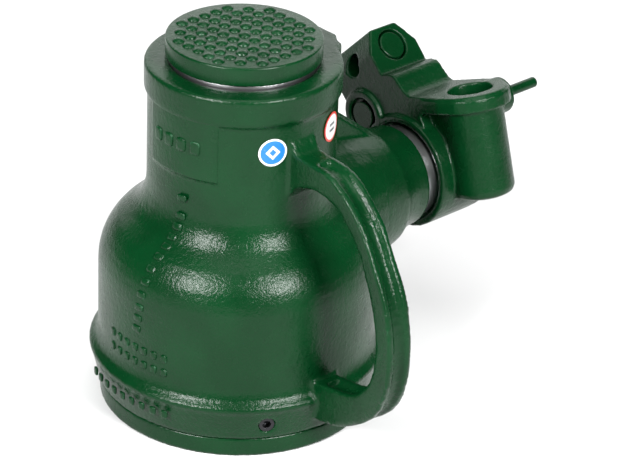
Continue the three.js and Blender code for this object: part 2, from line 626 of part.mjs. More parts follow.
const shaftWasher = () => latheX([[9.4, 192.9], [18, 192.9], [18, 195.4], [9.4, 195.4]]);

function shaftNut() {
  const hex = headRod(15.5, 195.7, 204.5, 0, 0, 6);
  return cut(hex, headRod(9.4, 190, 210, 0, 0, 32)).translate([0, 0, NECK_Z]);
}

// Pawl held clear of the wheel: hub, nose arm (drawn engaged, then turned back) and the arm on the plunger.
function pawl() {
  const hub = headRod(10.4, 163, 178, PIVOT.u, PIVOT.v, 24);
  const nose = slab([[-33, 46.4], [-22, 44], [-6, 37], [3.5, 33.5], [4.4, 29], [2.4, 25], [1, 21.4],
    [-1.6, 21.4], [-3, 25], [-6, 27.6], [-20, 28.8], [-30, 26.6]], 163, 178);
  const arm = slab([[-36, 46], [-33.5, 58], [-30.2, 63.7], [-35.8, 74.2], [-34.6, 76.4], [-32.5, 77.4],
    [-30.5, 76.8], [-24.7, 66.5], [-24, 60], [-24.5, 46]], 163, 178);
  const lifted = nose
    .translate([0, PIVOT.u, -PIVOT.v])
    .rotate([-THREE.MathUtils.radToDeg(PAWL_LIFT), 0, 0])
    .translate([0, -PIVOT.u, PIVOT.v]);
  return leanHead(cut(unite(hub, lifted, arm), headRod(6.3, 160, 180, PIVOT.u, PIVOT.v, 24)));
}

function pawlPin() {
  const head = headRod(9.2, 146, HEAD_NEAR - GAP, PIVOT.u, PIVOT.v, 24);
  return leanHead(unite(head, headRod(6, HEAD_NEAR - 1, 193.2, PIVOT.u, PIVOT.v, 24)));
}

function pawlClip() {
  const ring = headRod(9, HEAD_FAR + GAP, HEAD_FAR + 1.8, PIVOT.u, PIVOT.v, 24);
  return leanHead(cut(ring, headRod(6.3, HEAD_FAR - 1, HEAD_FAR + 3, PIVOT.u, PIVOT.v, 24)));
}

const springPlug = () =>
  leanHead(onPlunger(lathe([[0, 0.4], [9, 0.4], [9.6, 1], [9.6, 4], [10.6, 4.4], [10.6, 7], [0, 7]], 24)));

function plunger() {
  const profile = [[0, 18.9], [5, 18.9], [8.1, 20], [8.1, 22.4], [3.6, 22.4], [3.6, 33], [0, 33]];
  return leanHead(onPlunger(lathe(profile, FINE)));
}

// Coil from the plunger to the blind end of its bore.
function coil(radius, wire, z0, z1, turns) {
  const points = Array.from({ length: turns * 10 + 1 }, (_, i) => {
    const a = (i * Math.PI) / 5;
    const z = z0 + wire + ((z1 - z0 - 2 * wire) * i) / (turns * 10);
    return new THREE.Vector3(radius * Math.cos(a), radius * Math.sin(a), z);
  });
  const round = arc(0, 0, wire, 0, Math.PI * 1.6, 4).map(([x, y]) => new THREE.Vector2(x, y));
  const extrudePath = new THREE.CatmullRomCurve3(points);
  const options = { steps: turns * 10, bevelEnabled: false, extrudePath };
  return solid(new THREE.ExtrudeGeometry(new THREE.Shape(round), options));
}

const pawlSpring = () => leanHead(onPlunger(coil(6.2, 1.2, 22.9, 41, 5)));

function barPin() {
  const body = lathe([[0, 188.6], [3.6, 188.6], [3.6, 195.6], [6.9, 195.6], [6.9, 197.6], [3.6, 197.6],
    [3.6, 235.3], [3, 236], [0, 236]], FINE);
  return leanHead(body.rotate([0, 90, 0]).translate([0, -SOCKET.u, BOSS.v]));
}

function barPinGland() {
  const ring = headRod(7, 202, BOSS.end + 0.2, SOCKET.u, BOSS.v, 24);
  return leanHead(cut(ring, headRod(3.9, 200, 210, SOCKET.u, BOSS.v, 20)));
}

// ---------------------------------------------------------------- assembly
add("housing", housing(), GREEN);
add("base_plate", basePlate(), GREEN_SMOOTH);
SET_SCREW_AZIMUTHS.forEach((a, i) => add(`set_screw_${i + 1}`, setScrew(a), DARK_STEEL));
add("lower_race", race(RACE_Z), STEEL);
add("inner_bush", neckBush(PINION_ROOM_END + GAP, 96), BRONZE);
add("outer_bush", neckBush(114, NECK_END - 2), BRONZE);
add("neck_washer", neckWasher(), STEEL);
add("wiper_ring", wiperRing(), RUBBER);
add("guide_key", guideKey(), STEEL);
add("guide_key_screw", guideKeyScrew(), DARK_STEEL);
add("grease_plug", greasePlug(), DARK_STEEL);
add("label_blue", label(10.6, THREE.MathUtils.degToRad(-113.5), 200), BLUE);
add("label_red", label(10, THREE.MathUtils.degToRad(-65.5), 202.5), RED);
add("ball_cage", ballCage(), BRONZE);
add("upper_race", race(UPPER_RACE_Z), STEEL);
add("bevel_gear", bevelGear(), STEEL);
add("gear_key", gearKey(), STEEL);
add("load_screw", loadScrew(), STEEL);
add("bevel_pinion", bevelPinion(), STEEL);
add("ratchet_wheel", ratchetWheel(), STEEL);
add("wheel_key", wheelKey(), STEEL);
add("shaft_washer", shaftWasher(), STEEL);
add("shaft_nut", shaftNut(), DARK_STEEL);
add("ram", ram(), STEEL);
add("ram_nut", ramNut(), BRONZE);
add("nut_pin_1", nutPin(0), DARK_STEEL);
add("nut_pin_2", nutPin(Math.PI), DARK_STEEL);
add("load_cap", loadCap(), GREEN_SMOOTH);
add("cap_ring", capRing(), DARK_STEEL);
add("lever_head", leverHead(), GREEN);
add("head_cover", headCover(), GREEN_SMOOTH);
COVER_SCREWS.forEach((at, i) => add(`cover_screw_${i + 1}`, coverScrew(at), DARK_STEEL));
add("pawl", pawl(), STEEL);
add("pawl_pin", pawlPin(), GREEN_SMOOTH);
add("pawl_clip", pawlClip(), DARK_STEEL);
add("spring_plug", springPlug(), GREEN_SMOOTH);
add("plunger", plunger(), STEEL);
add("pawl_spring", pawlSpring(), STEEL);
add("bar_pin", barPin(), GREEN_SMOOTH);
add("bar_pin_gland", barPinGland(), DARK_STEEL);

export default jack;
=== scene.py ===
"""Ratchet screw jack: enamelled castings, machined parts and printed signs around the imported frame.

Every length is in metres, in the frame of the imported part: +Z up the lifting screw, +X along the side neck.
"""

import logging
import math
from dataclasses import dataclass, field
from enum import Enum

import bmesh
import bpy
import numpy as np
from mathutils import Matrix, Vector


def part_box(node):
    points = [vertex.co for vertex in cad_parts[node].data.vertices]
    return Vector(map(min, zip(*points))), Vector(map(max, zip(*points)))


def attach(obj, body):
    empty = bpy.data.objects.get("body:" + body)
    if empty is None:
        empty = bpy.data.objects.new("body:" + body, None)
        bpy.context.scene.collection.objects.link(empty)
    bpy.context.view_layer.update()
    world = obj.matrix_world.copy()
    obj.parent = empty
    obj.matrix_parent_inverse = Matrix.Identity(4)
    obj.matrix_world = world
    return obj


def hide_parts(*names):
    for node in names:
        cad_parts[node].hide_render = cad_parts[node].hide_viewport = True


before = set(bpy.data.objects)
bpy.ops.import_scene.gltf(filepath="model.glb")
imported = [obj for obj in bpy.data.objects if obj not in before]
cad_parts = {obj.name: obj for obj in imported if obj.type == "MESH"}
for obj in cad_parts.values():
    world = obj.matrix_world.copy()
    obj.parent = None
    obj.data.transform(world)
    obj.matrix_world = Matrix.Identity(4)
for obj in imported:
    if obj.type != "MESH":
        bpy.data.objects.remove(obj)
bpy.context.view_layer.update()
LOG = logging.getLogger("jack")

MM = 0.001
NECK_Z = 110.8 * MM
HEAD_LEAN = math.radians(16.5)
TOWER_R = 59.9 * MM
BELL_R = 90.2 * MM
HOLLOW_R = 31.7 * MM
HOLLOW_CENTRE = Vector((92.9 * MM, 154.8 * MM))
SHOULDER_R = 42.8 * MM
SHOULDER_CENTRE = Vector((47.4 * MM, 95.8 * MM))
RIM_R = 96.0 * MM
PIECE_LIMIT = 190_000


# ---------------------------------------------------------------------------- shader building blocks


@dataclass
class Socket:
    """Wraps an output socket so that arithmetic on it adds Math nodes."""

    sheet: "NodeSheet"
    link: bpy.types.NodeSocket

    def _math(self, operation: str, other: "Socket | float", swap: bool = False) -> "Socket":
        """Adds one Math node.

        Args:
            operation: the Math node's operation.
            other: the second operand.
            swap: puts the second operand first.

        Returns:
            The node's result.
        """
        pair = (other, self) if swap else (self, other)
        return self.sheet.add("ShaderNodeMath", {"operation": operation}, {0: pair[0], 1: pair[1]})

    def __add__(self, other: "Socket | float") -> "Socket":
        """Adds."""
        return self._math("ADD", other)

    def __radd__(self, other: float) -> "Socket":
        """Adds, with the number first."""
        return self._math("ADD", other)

    def __sub__(self, other: "Socket | float") -> "Socket":
        """Subtracts."""
        return self._math("SUBTRACT", other)

    def __rsub__(self, other: float) -> "Socket":
        """Subtracts from a number."""
        return self._math("SUBTRACT", other, swap=True)

    def __mul__(self, other: "Socket | float") -> "Socket":
        """Multiplies."""
        return self._math("MULTIPLY", other)

    def __rmul__(self, other: float) -> "Socket":
        """Multiplies, with the number first."""
        return self._math("MULTIPLY", other)

    def __gt__(self, other: "Socket | float") -> "Socket":
        """Gives 1 where this is greater, and 0 elsewhere."""
        return self._math("GREATER_THAN", other)

    def __lt__(self, other: "Socket | float") -> "Socket":
        """Gives 1 where this is less, and 0 elsewhere."""
        return self._math("LESS_THAN", other)

    def size(self) -> "Socket":
        """Takes the absolute value."""
        return self.sheet.add("ShaderNodeMath", {"operation": "ABSOLUTE"}, {0: self})

    def ramp(self, low: float, high: float) -> "Socket":
        """Maps low..high to 0..1, smoothly and clamped.

        Args:
            low: the value that becomes 0.
            high: the value that becomes 1.

        Returns:
            The mapped value.
        """
        settings = {"interpolation_type": "SMOOTHSTEP", "clamp": True}
        inputs = {"Value": self, "From Min": low, "From Max": high}
        return self.sheet.add("ShaderNodeMapRange", settings, inputs)


class NodeSheet:
    """A material's node tree with short ways to add nodes to it."""

    def __init__(self, name: str) -> None:
        """Makes an empty material.

        Args:
            name: the material's name.
        """
        self.material = bpy.data.materials.new(name)
        self.material.use_nodes = True
        self.tree = self.material.node_tree
        self.tree.nodes.clear()

    def add(self, kind: str, settings: dict, inputs: dict, output: int | str = 0) -> Socket:
        """Adds one node.

        Args:
            kind: the node's type.
            settings: the node's own properties, set first.
            inputs: values or Sockets by input name or number.
            output: the output to return, by name or number.

        Returns:
            The wrapped output.
        """
        node = self.tree.nodes.new(kind)
        for key, value in settings.items():
            setattr(node, key, value)
        for key, value in inputs.items():
            if isinstance(value, Socket):
                self.tree.links.new(value.link, node.inputs[key])
            else:
                node.inputs[key].default_value = value
        return Socket(self, node.outputs[output])

    def place(self) -> Socket:
        """Gives the Object coordinates."""
        return self.add("ShaderNodeTexCoord", {}, {}, "Object")

    def noise(self, size: float, detail: float = 2.0, where: Socket | None = None,
              rough: float = 0.5) -> Socket:
        """Adds a noise whose grain has a real size.

        Args:
            size: the grain's size in metres.
            detail: the number of octaves.
            where: the coordinates, or None for Object coordinates.
            rough: how strong the finer octaves are.

        Returns:
            The noise value, about 0.5 on average.
        """
        inputs = {"Vector": where or self.place(), "Scale": 1 / size, "Detail": detail, "Roughness": rough}
        return self.add("ShaderNodeTexNoise", {}, inputs, "Fac")

    def blend(self, share: Socket | float, low: Socket | tuple, high: Socket | tuple) -> Socket:
        """Mixes two colours.

        Args:
            share: how much of the second colour shows.
            low: the first colour.
            high: the second colour.

        Returns:
            The mixed colour.
        """
        node = self.tree.nodes.new("ShaderNodeMix")
        node.data_type = "RGBA"
        colours = [s for s in node.inputs if s.type == "RGBA"]
        for target, value in ((node.inputs["Factor"], share), (colours[0], low), (colours[1], high)):
            if isinstance(value, Socket):
                self.tree.links.new(value.link, target)
            else:
                target.default_value = value if isinstance(value, float) else (*value, 1.0)
        return Socket(self, next(s for s in node.outputs if s.type == "RGBA"))

    def bump(self, height: Socket, relief: float, under: Socket | None = None) -> Socket:
        """Adds a Bump node.

        Args:
            height: the height, 0 to 1.
            relief: the relief in metres.
            under: a normal that this bump is added to.

        Returns:
            The bent normal.
        """
        inputs = {"Height": height, "Distance": relief, "Strength": 1.0}
        if under:
            inputs["Normal"] = under
        return self.add("ShaderNodeBump", {}, inputs, "Normal")

    def along(self, centre: Vector, direction: Vector) -> Socket:
        """Measures Object coordinates from a centre along a direction.

        Args:
            centre: the point that reads 0.
            direction: a unit vector.

        Returns:
            The distance in metres.
        """
        kind = "ShaderNodeVectorMath"
        moved = self.add(kind, {"operation": "SUBTRACT"}, {0: self.place(), 1: centre}, "Vector")
        return self.add(kind, {"operation": "DOT_PRODUCT"}, {0: moved, 1: direction}, "Value")

    def finish(self, inputs: dict) -> bpy.types.Material:
        """Adds the Principled shader and the output.

        Args:
            inputs: the shader's values and links.

        Returns:
            The finished material.
        """
        shader = self.add("ShaderNodeBsdfPrincipled", {}, inputs, "BSDF")
        self.add_output(shader)
        return self.material

    def add_output(self, shader: Socket) -> None:
        """Links a shader to the material's output."""
        node = self.tree.nodes.new("ShaderNodeOutputMaterial")
        self.tree.links.new(shader.link, node.inputs["Surface"])


# ---------------------------------------------------------------------------- finishes


@dataclass(frozen=True)
class Enamel:
    """Glossy green enamel, over a sand casting or over a machined face, with painted shade in its hollows and
    a painted highlight on its worn edges.
    """

    name: str
    body: tuple = (0.0006, 0.0235, 0.0056)
    # deep green, used for the random mottling and for the painted shade in hollows
    deep_and_shade: tuple = (0.0002, 0.0130, 0.0029)
    # light green for worn paint on sharp edges, which also serves as a painted edge highlight
    thin: tuple = (0.045, 0.130, 0.072)
    grain: float = 2.8 * MM
    grain_relief: float = 0.34 * MM
    pit: float = 1.0 * MM
    pit_relief: float = 0.15 * MM
    wave_relief: float = 0.5 * MM
    gloss: float = 0.20

    def make(self) -> bpy.types.Material:
        """Builds the material."""
        s = NodeSheet(self.name)
        cloud = s.noise(38 * MM, 3)
        grain = s.noise(self.grain, 3, rough=0.6)
        pit = s.noise(self.pit, 2, rough=0.6)
        edge = s.add("ShaderNodeNewGeometry", {}, {}, "Pointiness")
        # sharp edges broken by noise and lightened towards the light green: partly worn thin paint, partly a
        # painted edge highlight
        wear_and_glint = edge.ramp(0.53, 0.60) * s.noise(4.5 * MM, 3).ramp(0.48, 0.72)
        # painted shade: concave hollows are darkened towards the deep green
        hollow = 1 - edge.ramp(0.40, 0.49)
        colour = s.blend(cloud.ramp(0.3, 0.7) * 0.55, self.body, self.deep_and_shade)
        colour = s.blend(hollow * 0.5, colour, self.deep_and_shade)
        colour = s.blend(wear_and_glint * 0.55, colour, self.thin)
        normal = s.bump(s.noise(22 * MM, 1), self.wave_relief)
        normal = s.bump(grain, self.grain_relief, normal)
        normal = s.bump(pit, self.pit_relief, normal)
        dust = s.noise(7 * MM, 4).ramp(0.55, 0.8)
        return s.finish({
            "Base Color": colour, "Roughness": self.gloss + grain * 0.10 + dust * 0.08, "Normal": normal,
            "IOR": 1.26,
        })


@dataclass(frozen=True)
class Metal:
    """Bare or blackened metal with turning marks and a trace of oil."""

    name: str
    colour: tuple
    stain: tuple
    roughness: float = 0.32
    line: float = 0.5 * MM
    relief: float = 0.01 * MM
    metallic: float = 1.0

    def make(self) -> bpy.types.Material:
        """Builds the material."""
        s = NodeSheet(self.name)
        stretched = s.add("ShaderNodeMapping", {}, {"Vector": s.place(), "Scale": (1.0, 1.0, 9.0)}, "Vector")
        lines = s.noise(self.line * 4, 3, stretched)
        patch = s.noise(26 * MM, 2).ramp(0.35, 0.85)
        edge = s.add("ShaderNodeNewGeometry", {}, {}, "Pointiness").ramp(0.52, 0.60)
        colour = s.blend(patch * 0.35, self.colour, self.stain)
        colour = s.blend(edge * 0.35, colour, tuple(min(1.0, c * 1.5 + 0.05) for c in self.colour))
        return s.finish({
            "Base Color": colour, "Metallic": self.metallic, "Normal": s.bump(lines, self.relief),
            "Roughness": self.roughness + patch * 0.06 - edge * 0.06,
        })


@dataclass(frozen=True)
class Rubber:
    """Matt black seal rubber."""

    name: str = "seal_rubber"
    colour: tuple = (0.012, 0.012, 0.013)

    def make(self) -> bpy.types.Material:
        """Builds the material."""
        s = NodeSheet(self.name)
        bloom = s.noise(3 * MM, 4)
        colour = s.blend(bloom.ramp(0.4, 0.75) * 0.5, self.colour, (0.035, 0.035, 0.036))
        normal = s.bump(bloom, 0.03 * MM)
        return s.finish({"Base Color": colour, "Roughness": 0.6 + bloom * 0.2, "Normal": normal})


class Symbol(Enum):
    """The plain shapes that a printed sign can carry."""

    DIAMOND = "diamond"
    BARS = "bars"


@dataclass(frozen=True)
class Sign:
    """A small round printed sign: a ring round a field with a plain symbol."""

    name: str
    centre: tuple
    azimuth: float
    radius: float
    field_colour: tuple
    ring_colour: tuple
    symbol_colour: tuple
    symbol: Symbol
    rim_from: float = 0.86
    rim_to: float = 1.05

    def make(self) -> bpy.types.Material:
        """Builds the material."""
        s = NodeSheet(self.name)
        across = Vector((-math.sin(self.azimuth), math.cos(self.azimuth), 0))
        x = s.along(Vector(self.centre), across) * (1 / self.radius)
        y = s.along(Vector(self.centre), Vector((0, 0, 1))) * (1 / self.radius)
        out = s.add("ShaderNodeMath", {"operation": "SQRT"}, {0: x * x + y * y})
        ring = (out > self.rim_from) * (out < self.rim_to)
        if self.symbol is Symbol.DIAMOND:
            spread = x.size() + y.size()
            mark = (spread < 0.52) * (spread > 0.26)
        else:
            mark = (x.size() < 0.36) * ((y.size() - 0.2).size() < 0.09)
        scuff = s.noise(1.2 * MM, 3).ramp(0.62, 0.8)
        colour = s.blend(mark.ramp(0, 1), self.field_colour, self.symbol_colour)
        colour = s.blend(ring.ramp(0, 1), colour, self.ring_colour)
        colour = s.blend(scuff * 0.18, colour, (0.5, 0.5, 0.5))
        return s.finish({"Base Color": colour, "Roughness": 0.34 + scuff * 0.2,
                         "Normal": s.bump(s.noise(2 * MM, 2), 0.02 * MM)})


@dataclass(frozen=True)
class PaleFloor:
    """The plain pale studio floor, which carries a painted glow towards its edges in the place of a lit
    sweep.
    """

    name: str = "pale_floor"
    colour: tuple = (0.62, 0.62, 0.62)
    # distances from the origin where the painted glow starts and where it is full
    sweep: tuple = (0.8, 2.6)

    def make(self) -> bpy.types.Material:
        """Builds the material."""
        s = NodeSheet(self.name)
        soft = s.noise(0.9, 2)
        colour = s.blend(soft * 0.15, self.colour, (0.58, 0.58, 0.585))
        # painted glow: the floor emits light more and more away from the jack, standing in for a lit sweep
        reach = s.add("ShaderNodeVectorMath", {"operation": "LENGTH"}, {"Vector": s.place()}, "Value")
        painted_glow = s.blend(reach.ramp(*self.sweep), (0.0, 0.0, 0.0), (0.75, 0.75, 0.75))
        return s.finish({
            "Base Color": colour, "Roughness": 0.75, "Emission Color": painted_glow, "Emission Strength": 1.0})


# ---------------------------------------------------------------------------- mesh tools


@dataclass(frozen=True)
class Round:
    """A stretch of a CAD solid that is really round: its facets are turned back into a cylinder.

    The region is given by its axis, its number of facets, and the distances from and along the axis.
    """

    centre: tuple
    axis: tuple
    facets: int
    reach: tuple
    span: tuple = (-1.0, 1.0)

    def _polar(self, points: np.ndarray) -> tuple:
        """Splits points into distance along the axis and the two coordinates across it.

        Args:
            points: an N by 3 array.

        Returns:
            Along, the two across coordinates, and the three unit vectors.
        """
        w = np.array(Vector(self.axis).normalized())
        seed = np.array((1.0, 0.0, 0.0)) if abs(w[0]) < 0.9 else np.array((0.0, 1.0, 0.0))
        u = seed - w * seed.dot(w)
        u /= np.linalg.norm(u)
        v = np.cross(w, u)
        moved = points - np.array(self.centre)
        return moved @ w, moved @ u, moved @ v, (w, u, v)

    def _inside(self, points: np.ndarray) -> tuple:
        """Finds the points that this stretch holds for, with their polar angles and radii.

        Args:
            points: an N by 3 array.

        Returns:
            Which points it holds for, their places along the axis, radii and angles, and the axes.
        """
        along, a, b, axes = self._polar(points)
        radius = np.hypot(a, b)
        held = (radius > self.reach[0]) & (radius < self.reach[1])
        held &= (along > self.span[0]) & (along < self.span[1])
        return held, along, radius, np.arctan2(b, a), axes

    def phase(self, points: np.ndarray) -> float | None:
        """Reads where the facets' corners lie from the CAD's own corners.

        Args:
            points: the CAD mesh's corners.

        Returns:
            The angle of one corner, or None where the corners show no such facets.
        """
        held, _, _, angle, _ = self._inside(points)
        if held.sum() < self.facets:
            return None
        mean = np.exp(1j * self.facets * angle[held]).mean()
        return float(np.angle(mean)) / self.facets if abs(mean) > 0.3 else None

    def swell(self, points: np.ndarray, phase: float) -> np.ndarray:
        """Moves dense points on the facets out to the true round.

        Args:
            points: the dense mesh's corners.
            phase: the angle of one facet corner.

        Returns:
            The moved points.
        """
        held, along, radius, angle, (w, u, v) = self._inside(points)
        step = 2 * math.pi / self.facets
        off = np.mod(angle - phase, step) - step / 2
        grown = radius * np.cos(off) / math.cos(step / 2)
        ring = np.cos(angle)[:, None] * u + np.sin(angle)[:, None] * v
        moved = np.array(self.centre) + along[:, None] * w + grown[:, None] * ring
        return np.where(held[:, None], moved, points)


def corners(mesh: bpy.types.Mesh) -> np.ndarray:
    """Reads a mesh's corners as an N by 3 array.

    Args:
        mesh: the mesh.

    Returns:
        An N by 3 array.
    """
    flat = np.empty(len(mesh.vertices) * 3)
    mesh.vertices.foreach_get("co", flat)
    return flat.reshape(-1, 3)


def set_corners(mesh: bpy.types.Mesh, points: np.ndarray) -> None:
    """Writes an N by 3 array back as a mesh's corners."""
    mesh.vertices.foreach_set("co", points.ravel())
    mesh.update()


def new_object(name: str, mesh: bpy.types.Mesh) -> bpy.types.Object:
    """Links a mesh into the scene as an object at the origin.

    Args:
        name: the object's name.
        mesh: the mesh.

    Returns:
        The object.
    """
    made = bpy.data.objects.new(name, mesh)
    bpy.context.scene.collection.objects.link(made)
    return made


def bake_modifiers(piece: bpy.types.Object) -> None:
    """Applies every modifier of a piece to its mesh.

    Args:
        piece: the object, changed in place.
    """
    graph = bpy.context.evaluated_depsgraph_get()
    mesh = bpy.data.meshes.new_from_object(piece.evaluated_get(graph), depsgraph=graph)
    old = piece.data
    piece.modifiers.clear()
    piece.data = mesh
    bpy.data.meshes.remove(old)


def shade_smooth(piece: bpy.types.Object, limit: float = math.radians(40)) -> None:
    """Shades a piece smoothly, with creases kept sharper than a limit.

    Args:
        piece: the object.
        limit: edges bent more than this stay sharp.
    """
    build = bmesh.new()
    build.from_mesh(piece.data)
    for edge in build.edges:
        edge.smooth = len(edge.link_faces) == 2 and edge.calc_face_angle(0.0) < limit
    for face in build.faces:
        face.smooth = True
    build.to_mesh(piece.data)
    build.free()


def merged_copy(node: str, name: str) -> bpy.types.Object:
    """Copies a CAD node's mesh with its loose triangles joined.

    Args:
        node: the CAD node.
        name: the new piece's name.

    Returns:
        The new object.
    """
    build = bmesh.new()
    build.from_mesh(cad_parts[node].data)
    bmesh.ops.remove_doubles(build, verts=build.verts, dist=2e-6)
    mesh = bpy.data.meshes.new(name)
    build.to_mesh(mesh)
    build.free()
    return new_object(name, mesh)


def refine(node: str, voxel: float, smoothing: int, rounds: tuple = (), name: str = "") -> bpy.types.Object:
    """Turns a faceted CAD solid into a fine one with softened edges and true rounds.

    Args:
        node: the CAD node that the piece stands for.
        voxel: the grid size of the fine mesh.
        smoothing: how many smoothing steps round the edges.
        rounds: the stretches that are really round.
        name: the new piece's name, or empty for one made from the node's.

    Returns:
        The new piece.
    """
    piece = merged_copy(node, name or f"{node}_fine")
    cad = corners(piece.data)
    grid = piece.modifiers.new("grid", "REMESH")
    grid.mode = "VOXEL"
    grid.voxel_size = voxel
    bake_modifiers(piece)
    points = corners(piece.data)
    for stretch in rounds:
        phase = stretch.phase(cad)
        if phase is None:
            LOG.warning("%s: no facets found for %s", node, stretch)
            continue
        points = stretch.swell(points, phase)
    set_corners(piece.data, points)
    soften = piece.modifiers.new("soften", "SMOOTH")
    soften.factor = 0.5
    soften.iterations = smoothing
    triangles = 2 * len(piece.data.polygons)
    if triangles > PIECE_LIMIT:
        thin = piece.modifiers.new("thin", "DECIMATE")
        thin.ratio = PIECE_LIMIT / triangles
    bake_modifiers(piece)
    shade_smooth(piece, math.radians(65))
    return piece


def lathe(name: str, profile: list, facets: int = 144) -> bpy.types.Object:
    """Turns a profile round the Z axis.

    Args:
        name: the piece's name.
        profile: [radius, height] pairs, from the axis or closed on themselves.
        facets: steps round the axis.

    Returns:
        The new piece.
    """
    build = bmesh.new()
    points = [build.verts.new((r, 0, z)) for r, z in profile]
    edges = [build.edges.new(pair) for pair in zip(points, points[1:])]
    if profile[0][0] > 0:
        edges.append(build.edges.new((points[-1], points[0])))
    bmesh.ops.spin(build, geom=points + edges, cent=(0, 0, 0), axis=(0, 0, 1), angle=2 * math.pi,
                   steps=facets, use_merge=True, use_duplicate=False)
    bmesh.ops.remove_doubles(build, verts=build.verts, dist=1e-6)
    bmesh.ops.recalc_face_normals(build, faces=build.faces)
    mesh = bpy.data.meshes.new(name)
    build.to_mesh(mesh)
    build.free()
    piece = new_object(name, mesh)
    shade_smooth(piece)
    return piece


def dress(piece: bpy.types.Object, material: bpy.types.Material) -> None:
    """Gives a piece one material."""
    piece.data.materials.clear()
    piece.data.materials.append(material)


def dress_node(node: str, material: bpy.types.Material) -> None:
    """Gives a carried-over CAD node a better material."""
    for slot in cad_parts[node].material_slots:
        slot.material = material


def stand_for(piece: bpy.types.Object, body: str, *nodes: str) -> None:
    """Makes a piece ride on a body in place of CAD nodes, and reports it.

    Args:
        piece: the finished piece.
        body: the body it moves with.
        nodes: the CAD nodes it replaces.
    """
    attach(piece, body)
    if nodes:
        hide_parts(*nodes)
    LOG.info("%s: %d faces on %s", piece.name, len(piece.data.polygons), body)


# ---------------------------------------------------------------------------- repeated pieces


class Repeat:
    """A Geometry Nodes tree that puts one small shape on every point of a mesh, turned and scaled."""

    def __init__(self, name: str, inputs: dict) -> None:
        """Starts the tree.

        Args:
            name: the tree's name.
            inputs: default values by input name; an int becomes an integer input.
        """
        self.tree = bpy.data.node_groups.new(name, "GeometryNodeTree")
        face = self.tree.interface
        face.new_socket("Geometry", in_out="INPUT", socket_type="NodeSocketGeometry")
        self.keys: dict[str, str] = {}
        self.values = inputs
        for key, value in inputs.items():
            kind = "NodeSocketInt" if isinstance(value, int) else "NodeSocketFloat"
            self.keys[key] = face.new_socket(key, in_out="INPUT", socket_type=kind).identifier
        face.new_socket("Geometry", in_out="OUTPUT", socket_type="NodeSocketGeometry")
        self.given = self.tree.nodes.new("NodeGroupInput")

    def add(self, kind: str, settings: dict | None = None, inputs: dict | None = None) -> bpy.types.Node:
        """Adds one node.

        Args:
            kind: the node's type.
            settings: the node's own properties.
            inputs: values or output sockets by input name or number.

        Returns:
            The node.
        """
        node = self.tree.nodes.new(kind)
        for key, value in (settings or {}).items():
            setattr(node, key, value)
        for key, value in (inputs or {}).items():
            if isinstance(value, bpy.types.NodeSocket):
                self.tree.links.new(value, node.inputs[key])
            else:
                node.inputs[key].default_value = value
        return node

    def size(self, key: str) -> bpy.types.NodeSocket:
        """Gives a named input of the tree."""
        return self.given.outputs[key]

    def spread(self, shape: bpy.types.NodeSocket, material: bpy.types.Material) -> None:
        """Puts the shape on the points and ends the tree.

        Args:
            shape: the small shape's geometry.
            material: the finish.
        """
        turn = self.add("GeometryNodeInputNamedAttribute", {"data_type": "FLOAT_VECTOR"}, {"Name": "turn"})
        grow = self.add("GeometryNodeInputNamedAttribute", {"data_type": "FLOAT_VECTOR"}, {"Name": "grow"})
        turned = self.add("FunctionNodeEulerToRotation", None, {0: turn.outputs[0]})
        held = self.add("GeometryNodeInstanceOnPoints", None, {
            "Points": self.size("Geometry"), "Instance": shape, "Rotation": turned.outputs[0],
            "Scale": grow.outputs[0]})
        self.end(held.outputs[0], material)

    def end(self, geometry: bpy.types.NodeSocket, material: bpy.types.Material) -> None:
        """Realizes the instances, sets the finish and closes the tree.

        Args:
            geometry: what the tree has made.
            material: the finish.
        """
        real = self.add("GeometryNodeRealizeInstances", None, {0: geometry})
        smooth = self.add("GeometryNodeSetShadeSmooth", None, {0: real.outputs[0]})
        done = self.add("GeometryNodeSetMaterial", None, {0: smooth.outputs[0], "Material": material})
        result = self.tree.nodes.new("NodeGroupOutput")
        self.tree.links.new(done.outputs[0], result.inputs[0])

    def build(self, name: str, places: list) -> bpy.types.Object:
        """Runs the tree on a list of places and turns the result into a plain mesh.

        Args:
            name: the piece's name.
            places: (point, euler turn, scale) for each copy.

        Returns:
            The piece.
        """
        mesh = bpy.data.meshes.new(name)
        mesh.from_pydata([tuple(p) for p, _, _ in places], [], [])
        for key, column in (("turn", 1), ("grow", 2)):
            layer = mesh.attributes.new(key, "FLOAT_VECTOR", "POINT")
            layer.data.foreach_set("vector", [c for place in places for c in place[column]])
        piece = new_object(name, mesh)
        modifier = piece.modifiers.new("repeat", "NODES")
        modifier.node_group = self.tree
        for key, value in self.values.items():
            modifier[self.keys[key]] = value
        bake_modifiers(piece)
        for key in ("turn", "grow"):
            if key in piece.data.attributes:
                piece.data.attributes.remove(piece.data.attributes[key])
        return piece


def pillow_marks(name: str, places: list, relief: float, material: bpy.types.Material) -> bpy.types.Object:
    """Makes plain raised cast marks: equal soft-edged blocks in the place of any writing.

    Args:
        name: the piece's name.
        places: (point, euler turn, (length, width, 1)) for each bar, in metres.
        relief: the thickness of a bar, half of it sunk in the casting.
        material: the finish.

    Returns:
        The piece.
    """
    tree = Repeat(f"{name}_tree", {"Relief": relief, "Level": 2})
    size = tree.add("ShaderNodeCombineXYZ", None, {"X": 1.0, "Y": 1.0, "Z": tree.size("Relief")})
    block = tree.add("GeometryNodeMeshCube", None, {"Size": size.outputs[0]})
    crease = tree.add("GeometryNodeSubdivisionSurface", None, {
        "Mesh": block.outputs[0], "Level": tree.size("Level"), "Edge Crease": 0.35})
    tree.spread(crease.outputs[0], material)
    return tree.build(name, places)


# ---------------------------------------------------------------------------- the jack's sub-assemblies


